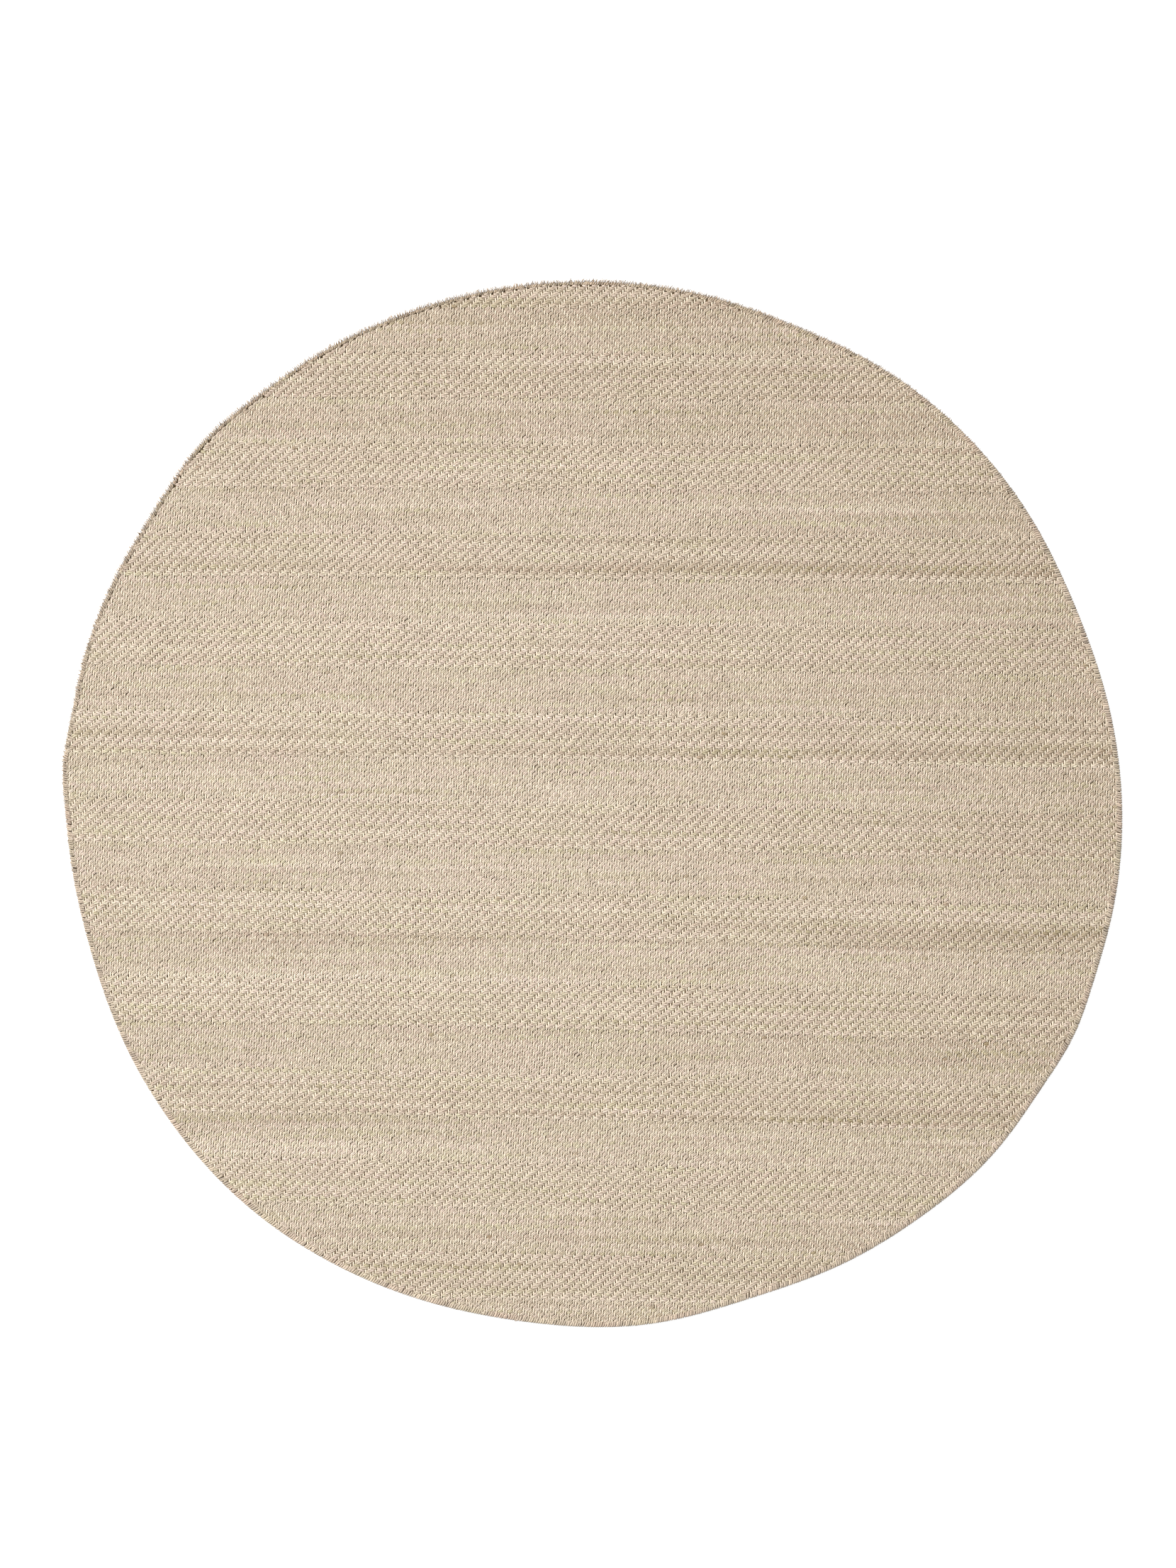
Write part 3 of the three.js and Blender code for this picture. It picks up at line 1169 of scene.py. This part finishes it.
class RUG_OT_weft_yarn(bpy.types.Operator):
    """Lays every weft float: greige wool over two warps at a time"""

    bl_idname = "rug.weft_yarn"
    bl_label = "Weft yarn"

    def execute(self, context):
        yarn = context.scene.rug_yarn
        loom = Loom()
        left, right, middle, pick = self.find_floats(loom)
        climbs = np.diff(loom.shift, append=loom.shift[-1])[pick] > 0

        def by_climb(size):
            """A size of the yarn where the twill climbs its own way, or the other way."""
            return np.where(climbs, getattr(yarn, size + "_with"), getattr(yarn, size + "_against"))

        rng = np.random.default_rng(51)
        count = len(pick)
        span = np.column_stack([right - left, np.zeros(count)])
        along = span * np.where(climbs, FLOAT_LENGTH["with"], FLOAT_LENGTH["against"])[:, None]
        slant = by_climb("slant") + WEFT_CHANCE["slant"] * rng.standard_normal(count)
        along[:, 1] += slant * np.linalg.norm(span, axis=1)
        along[:, 2] += by_climb("tilt")
        width = yarn.weft_width * (1 + WEFT_CHANCE["width"] * rng.standard_normal(count))
        width *= np.where(climbs, FLOAT_FULLNESS["with"], FLOAT_FULLNESS["against"])
        across = np.column_stack([np.zeros(count), width, np.zeros(count)])
        rise = yarn.weft_rise * (1 + WEFT_CHANCE["rise"] * rng.standard_normal(count))
        raised = np.column_stack([by_climb("crown"), np.zeros(count), rise])
        places = np.column_stack([(left + right) / 2, np.full(count, yarn.weft_low)])
        places += WEFT_PLACE_CHANCE * rng.standard_normal((count, 3))
        places[:, 0] += by_climb("shift")
        colours = weft_colour(*middle.T, pick, rng)
        twist = yarn.weft_twist * np.where(climbs, 1.0, -1.0)

        pattern = plump_float(body_share=0.55, tip_height=-0.8)
        material = yarn_material("Greige wool", plies=2.0, slant=1.6, depth=1.9, flecks=0.4)
        lie = (places, along, across, raised)
        lay_strips(WEFT_STRIPS, pattern, material, lie, colours, WEFT_RECESS_SHADE, seed=52, twist=twist)
        throw_away(pattern)
        return {"FINISHED"}

    def find_floats(self, loom):
        """Left end, right end and middle of each float over two warps, as rows of X and Y, and its pick."""
        up = loom.warp_is_up()
        over_two = up[:, :-4] & ~up[:, 1:-3] & ~up[:, 2:-2] & up[:, 3:-1]
        pick, warp = np.nonzero(over_two)
        y = loom.pick_y[pick]
        left = np.stack(loom.lie(loom.warp_x[warp], y), 1)
        right = np.stack(loom.lie(loom.warp_x[warp + 3], y), 1)
        middle = (left + right) / 2
        kept = woven_as_far_as(*middle.T) > SHORTEST_HALF
        left, right, middle, pick = (a[kept] for a in (left, right, middle, pick))
        return self.draw_back(left, middle), self.draw_back(right, middle), middle, pick

    def draw_back(self, end, middle):
        """Draws the ends that would lie past the weave's own end back towards their floats' middles."""
        inside, end_inside = woven_as_far_as(*middle.T), woven_as_far_as(*end.T)
        keep = np.clip(inside / np.maximum(inside - end_inside, 1e-9), 0, 1)
        keep[end_inside > 0] = 1
        return middle + (end - middle) * keep[:, None]


class RUG_OT_warp_yarn(bpy.types.Operator):
    """Lays every warp float: thin pale yarn over one, two or three picks"""

    bl_idname = "rug.warp_yarn"
    bl_label = "Warp yarn"

    def execute(self, context):
        yarn, weave = context.scene.rug_yarn, context.scene.rug_weave
        loom = Loom()
        up = loom.warp_is_up()
        starts = up.copy()
        starts[1:] &= ~up[:-1]
        starts[0] = False
        starts[-3:] = False
        pick, warp = np.nonzero(starts)
        length = 1 + up[pick + 1, warp] + (up[pick + 1, warp] & up[pick + 2, warp])
        rng = np.random.default_rng(61)
        x = loom.warp_x[warp]
        centre = loom.pick_y[pick] + (length - 1) * weave.pick_pitch / 2
        half = (length * weave.pick_pitch + WARP_TUCK) / 2
        low = np.stack(loom.lie(x, centre - half), 1)
        high = np.stack(loom.lie(x, centre + half), 1)
        middle = (low + high) / 2
        kept = woven_as_far_as(*middle.T) > half
        low, high, middle = (a[kept] for a in (low, high, middle))
        count = len(middle)
        along = np.column_stack([high - low, np.zeros(count)])
        along[:, 0] += WARP_LEAN_CHANCE * rng.standard_normal(count)
        width = yarn.warp_width * (1 + WARP_CHANCE["width"] * rng.standard_normal(count))
        across = np.column_stack([-width, np.zeros((count, 2))])
        rise = yarn.warp_rise * (1 + WARP_CHANCE["rise"] * rng.standard_normal(count))
        raised = np.column_stack([np.zeros((count, 2)), rise])
        places = np.column_stack([middle, np.full(count, yarn.warp_low)])
        places[:, :2] += WARP_PLACE_CHANCE * rng.standard_normal((count, 2))
        colours = warp_colour(*middle.T, rng)

        pattern = plump_float(body_share=0.72, tip_height=-0.4)
        material = yarn_material("Pale warp wool", plies=2.0, slant=3.0, depth=0.2, flecks=0.12)
        lie = (places, along, across, raised)
        lay_strips(WARP_STRIPS, pattern, material, lie, colours, WARP_RECESS_SHADE, seed=62, twist=np.zeros(count))
        throw_away(pattern)
        return {"FINISHED"}


def stitch_to_copy(thickness):
    """One overcast stitch to copy: one wide along X, from the edge in along Y, wrapped over and under."""
    low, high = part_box("edge_binding")
    middle = (low.z + high.z) / 2
    bend = middle - thickness / 2
    inner = high.z - ROLL_PRESSED - STITCH_DIP
    route = [(0.0, STITCH_END_ABOVE, inner), (0.0, STITCH_END_ABOVE - STITCH_LAST_STEP, inner)]
    for turn in STITCH_TURNS:
        over = bend - ROLL_PRESSED if turn > 0 else bend
        route.append((0.0, thickness / 2 + bend * (1 - math.cos(turn)), middle + over * math.sin(turn)))
    route.append((0.0, STITCH_END_BELOW, low.z + thickness / 2))
    select_nothing()
    bpy.ops.curve.primitive_nurbs_path_add()
    stitch = bpy.context.object
    curve = stitch.data
    curve.splines.clear()
    spline = curve.splines.new("POLY")
    spline.points.add(len(route) - 1)
    for point, place in zip(spline.points, route):
        point.co = (*place, 1)
    curve.bevel_depth = thickness / 2
    curve.bevel_resolution = 0
    curve.use_fill_caps = True
    bpy.ops.object.convert(target="MESH")
    stitch = bpy.context.object
    bpy.ops.object.mode_set(mode="EDIT")
    bpy.ops.mesh.select_all(action="SELECT")
    bpy.ops.mesh.remove_doubles(threshold=WELD)
    bpy.ops.mesh.normals_make_consistent(inside=False)
    bpy.ops.object.mode_set(mode="OBJECT")
    return stitch


class RUG_OT_edge_binding(bpy.types.Operator):
    """Wraps the edge with overcast stitches and sets the cut ends that stand out of it"""

    bl_idname = "rug.edge_binding"
    bl_label = "Edge binding"

    def execute(self, context):
        self.lay_stitches(context)
        self.lay_ends(context)
        return {"FINISHED"}

    def lay_stitches(self, context):
        """Lays one stitch after the other round the edge."""
        binding, colours = context.scene.rug_binding, context.scene.rug_colours
        rng = np.random.default_rng(71)
        place, tangent, inward, direction = round_the_edge(binding.stitch_pitch)
        count = len(place)
        fullness = STITCH_COVER + STITCH_CHANCE["width"] * rng.standard_normal(count)
        width = binding.stitch_pitch / binding.stitch_thickness * fullness
        narrow = roll_width(direction) / ROLL_WIDTH
        place = place + inward * roll_start(direction)[:, None]
        place += tangent * (STITCH_PLACE_CHANCE * rng.standard_normal(count))[:, None]
        lean = binding.stitch_slant + STITCH_CHANCE["lean"] * rng.standard_normal(count)
        across = inward * narrow[:, None] + tangent * lean[:, None]
        raised = np.column_stack([np.zeros((count, 2)), 1 - STITCH_CHANCE["flatness"] * rng.random(count)])
        at = np.arange(count) * binding.stitch_pitch
        hue = slow_noise(at, STITCH_SWELLS["hue"], seed=72)[:, None]
        shade = STITCH_SHADE_SWELL * slow_noise(at, STITCH_SWELLS["shade"], seed=73)
        shade += STITCH_CHANCE["shade"] * rng.standard_normal(count)
        # Painted shade: darker where the cut ends stand out, for the shade at their roots.
        shade -= STITCH_PAINTED_SHADE * roll_share(direction)
        # Painted shade: browner there too.
        base = np.array(colours.binding) * (1 - STITCH_SHADE_BROWNER * ends_share(direction)[:, None])
        tint = np.where(hue > 0, 1 + (STITCH_PINK - 1) * hue, 1 - (STITCH_OLIVE - 1) * hue)
        tint = np.clip(base * tint * (1 + shade)[:, None], *COLOUR_RANGE)
        along = tangent * width[:, None]
        pattern = stitch_to_copy(binding.stitch_thickness)
        stitches = lay_copies(
            "overcast_stitches", pattern, place, along, across, raised, tint, EDGE_RECESS_SHADE, seed=74
        )
        throw_away(pattern)
        stitches.data.materials.append(
            yarn_material("Overcast wool", plies=2.0, slant=2.5, depth=0.8, flecks=0.4)
        )
        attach(stitches, "root")
        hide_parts("edge_binding")

    def lay_ends(self, context):
        """Sets the cut ends, each a thin stub that comes out of the roll's outer side."""
        binding, colours = context.scene.rug_binding, context.scene.rug_colours
        rng = np.random.default_rng(81)
        place, tangent, inward, direction = round_the_edge(binding.ends_pitch)
        kept = rng.random(len(place)) < np.clip(ends_share(direction) * ENDS_KEPT, 0, 1)
        place, tangent, inward, direction = (a[kept] for a in (place, tangent, inward, direction))
        start = roll_start(direction) + ENDS_ROOT
        count = len(place)
        length = start * rng.uniform(*ENDS_LENGTH, count)
        lean = ENDS_LEAN["mean"] + ENDS_LEAN["chance"] * rng.standard_normal(count)
        outward = tangent * lean[:, None] - inward
        outward[:, 2] = rng.uniform(*ENDS_RISE, count)
        thick = ENDS_THICKNESS * rng.uniform(*ENDS_FULLNESS, count)
        foot = place + inward * start[:, None]
        foot[:, 2] = rng.uniform(*ENDS_HEIGHT, count) * MM
        shade = rng.normal(1.0, ENDS_SHADE_CHANCE, count)
        tint = np.clip(np.array(colours.ends) * shade[:, None], *ENDS_COLOUR_RANGE)
        select_nothing()
        bpy.ops.mesh.primitive_cone_add(
            vertices=3,
            radius1=0.5,
            radius2=ENDS_TAPER,
            depth=1,
            location=(0.5, 0, 0),
            rotation=(0, math.pi / 2, 0),
        )
        pattern = context.object
        bpy.ops.object.transform_apply(location=True, rotation=True, scale=True)
        along = outward * length[:, None]
        across = tangent * -thick[:, None]
        raised = np.column_stack([np.zeros((count, 2)), thick])
        ends = lay_copies("cut_ends", pattern, foot, along, across, raised, tint, EDGE_RECESS_SHADE, seed=82)
        throw_away(pattern)
        ends.data.materials.append(
            yarn_material("Cut ends wool", plies=1.0, slant=0.5, depth=0.4, flecks=0.3)
        )
        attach(ends, "root")
        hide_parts("edge_binding")


def seen_directly(tree):
    """1 where something is looked at, itself or in gloss or glass, and 0 where its light falls on the rug."""
    path = tree.nodes.new("ShaderNodeLightPath")
    seen = maths(tree, "MAXIMUM", path.outputs["Is Camera Ray"], path.outputs["Is Glossy Ray"])
    return maths(tree, "MAXIMUM", seen, path.outputs["Is Transmission Ray"])


class RUG_OT_studio(bpy.types.Operator):
    """Sets a plain white floor, one large soft lamp, even fill and a camera straight above"""

    bl_idname = "rug.studio"
    bl_label = "Studio"

    def execute(self, context):
        self.lay_floor()
        self.hang_lamp(context)
        self.light_all_round(context)
        self.set_camera(context)
        context.scene.view_settings.view_transform = "Standard"
        return {"FINISHED"}

    def lay_floor(self):
        """Lays a wide floor that looks white and still takes the rug's shadow."""
        select_nothing()
        bpy.ops.mesh.primitive_plane_add(size=FLOOR_SIZE, location=(0, 0, -FLOOR_GAP))
        floor = bpy.context.object
        floor.name = "floor"
        material, tree = new_material("White floor")
        matt = add_node(tree, "ShaderNodeBsdfDiffuse", Color=(FLOOR_SHADE, FLOOR_SHADE, FLOOR_SHADE, 1))
        glow = add_node(tree, "ShaderNodeEmission", Color=(1, 1, 1, 1))
        tree.links.new(maths(tree, "MULTIPLY", seen_directly(tree), FLOOR_GLOW), glow.inputs["Strength"])
        both = tree.nodes.new("ShaderNodeAddShader")
        leave = tree.nodes.new("ShaderNodeOutputMaterial")
        tree.links.new(matt.outputs[0], both.inputs[0])
        tree.links.new(glow.outputs[0], both.inputs[1])
        tree.links.new(both.outputs[0], leave.inputs["Surface"])
        floor.data.materials.append(material)

    def hang_lamp(self, context):
        """Hangs one large soft lamp and turns it to the rug."""
        studio = context.scene.rug_studio
        flat = studio.lamp_distance * math.cos(studio.lamp_elevation)
        place = (
            flat * math.cos(studio.lamp_towards),
            flat * math.sin(studio.lamp_towards),
            studio.lamp_distance * math.sin(studio.lamp_elevation),
        )
        select_nothing()
        bpy.ops.object.light_add(type="AREA", location=place)
        lamp = context.object
        lamp.name = "softbox"
        lamp.data.shape = "SQUARE"
        lamp.data.size = studio.lamp_size
        lamp.rotation_euler = (math.pi / 2 - studio.lamp_elevation, 0, studio.lamp_towards + math.pi / 2)
        # The power that gives a level surface at the rug's middle this share of full light.
        lamp.data.energy = (
            studio.lamp_share * math.pi**2 * studio.lamp_distance**2 / math.sin(studio.lamp_elevation)
        )

    def light_all_round(self, context):
        """Fills in from all round, in front of a white background."""
        world = bpy.data.worlds.new("White studio")
        context.scene.world = world
        world.use_nodes = True
        tree = world.node_tree
        tree.nodes.clear()
        fill = context.scene.rug_studio.fill_share
        back = add_node(tree, "ShaderNodeBackground", Color=(1, 1, 1, 1))
        strength = maths(tree, "MULTIPLY_ADD", seen_directly(tree), 1 - fill, fill)
        leave = tree.nodes.new("ShaderNodeOutputWorld")
        tree.links.new(strength, back.inputs["Strength"])
        tree.links.new(back.outputs[0], leave.inputs["Surface"])

    def set_camera(self, context):
        """Sets the camera straight above, looking down."""
        studio = context.scene.rug_studio
        select_nothing()
        bpy.ops.object.camera_add(
            location=(-studio.camera_left, studio.camera_up, studio.camera_height), rotation=(0, 0, 0)
        )
        camera = context.object
        camera.name = "camera_above"
        camera.data.sensor_width = 36
        view_height = studio.view_width * PICTURE_HEIGHT
        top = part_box("woven_field")[1].z
        camera.data.lens = camera.data.sensor_width * (studio.camera_height - top) / view_height
        camera.data.clip_end = 100
        context.scene.camera = camera


class RUG_PT_sidebar(bpy.types.Panel):
    """Sizes, colours and steps of the rug"""

    bl_label = "Round wool rug"
    bl_idname = "RUG_PT_sidebar"
    bl_space_type = "VIEW_3D"
    bl_region_type = "UI"
    bl_category = "Rug"

    def draw(self, context):
        for operator in OPERATORS:
            self.layout.operator(operator.bl_idname)
        for name, group in SETTINGS.items():
            box = self.layout.box()
            box.label(text=group.__doc__.split(".")[0])
            for key in group.__annotations__:
                box.prop(getattr(context.scene, name), key)


OPERATORS = (
    RUG_OT_ground_cloth,
    RUG_OT_weft_yarn,
    RUG_OT_warp_yarn,
    RUG_OT_edge_binding,
    RUG_OT_studio,
)


def register():
    """Adds the settings, operators and panel."""
    for group in (*SETTINGS.values(), *OPERATORS, RUG_PT_sidebar):
        bpy.utils.register_class(group)
    for name, group in SETTINGS.items():
        setattr(bpy.types.Scene, name, bpy.props.PointerProperty(type=group))


def unregister():
    """Takes them away again."""
    for name in SETTINGS:
        delattr(bpy.types.Scene, name)
    for group in reversed((*SETTINGS.values(), *OPERATORS, RUG_PT_sidebar)):
        bpy.utils.unregister_class(group)


def main():
    """Makes the shared effects, then every piece and the studio."""
    register()
    spun_wool_group()
    heather_group()
    twill_group()
    bpy.ops.rug.ground_cloth()
    bpy.ops.rug.weft_yarn()
    bpy.ops.rug.warp_yarn()
    bpy.ops.rug.edge_binding()
    bpy.ops.rug.studio()


if __name__ == "__main__":
    main()
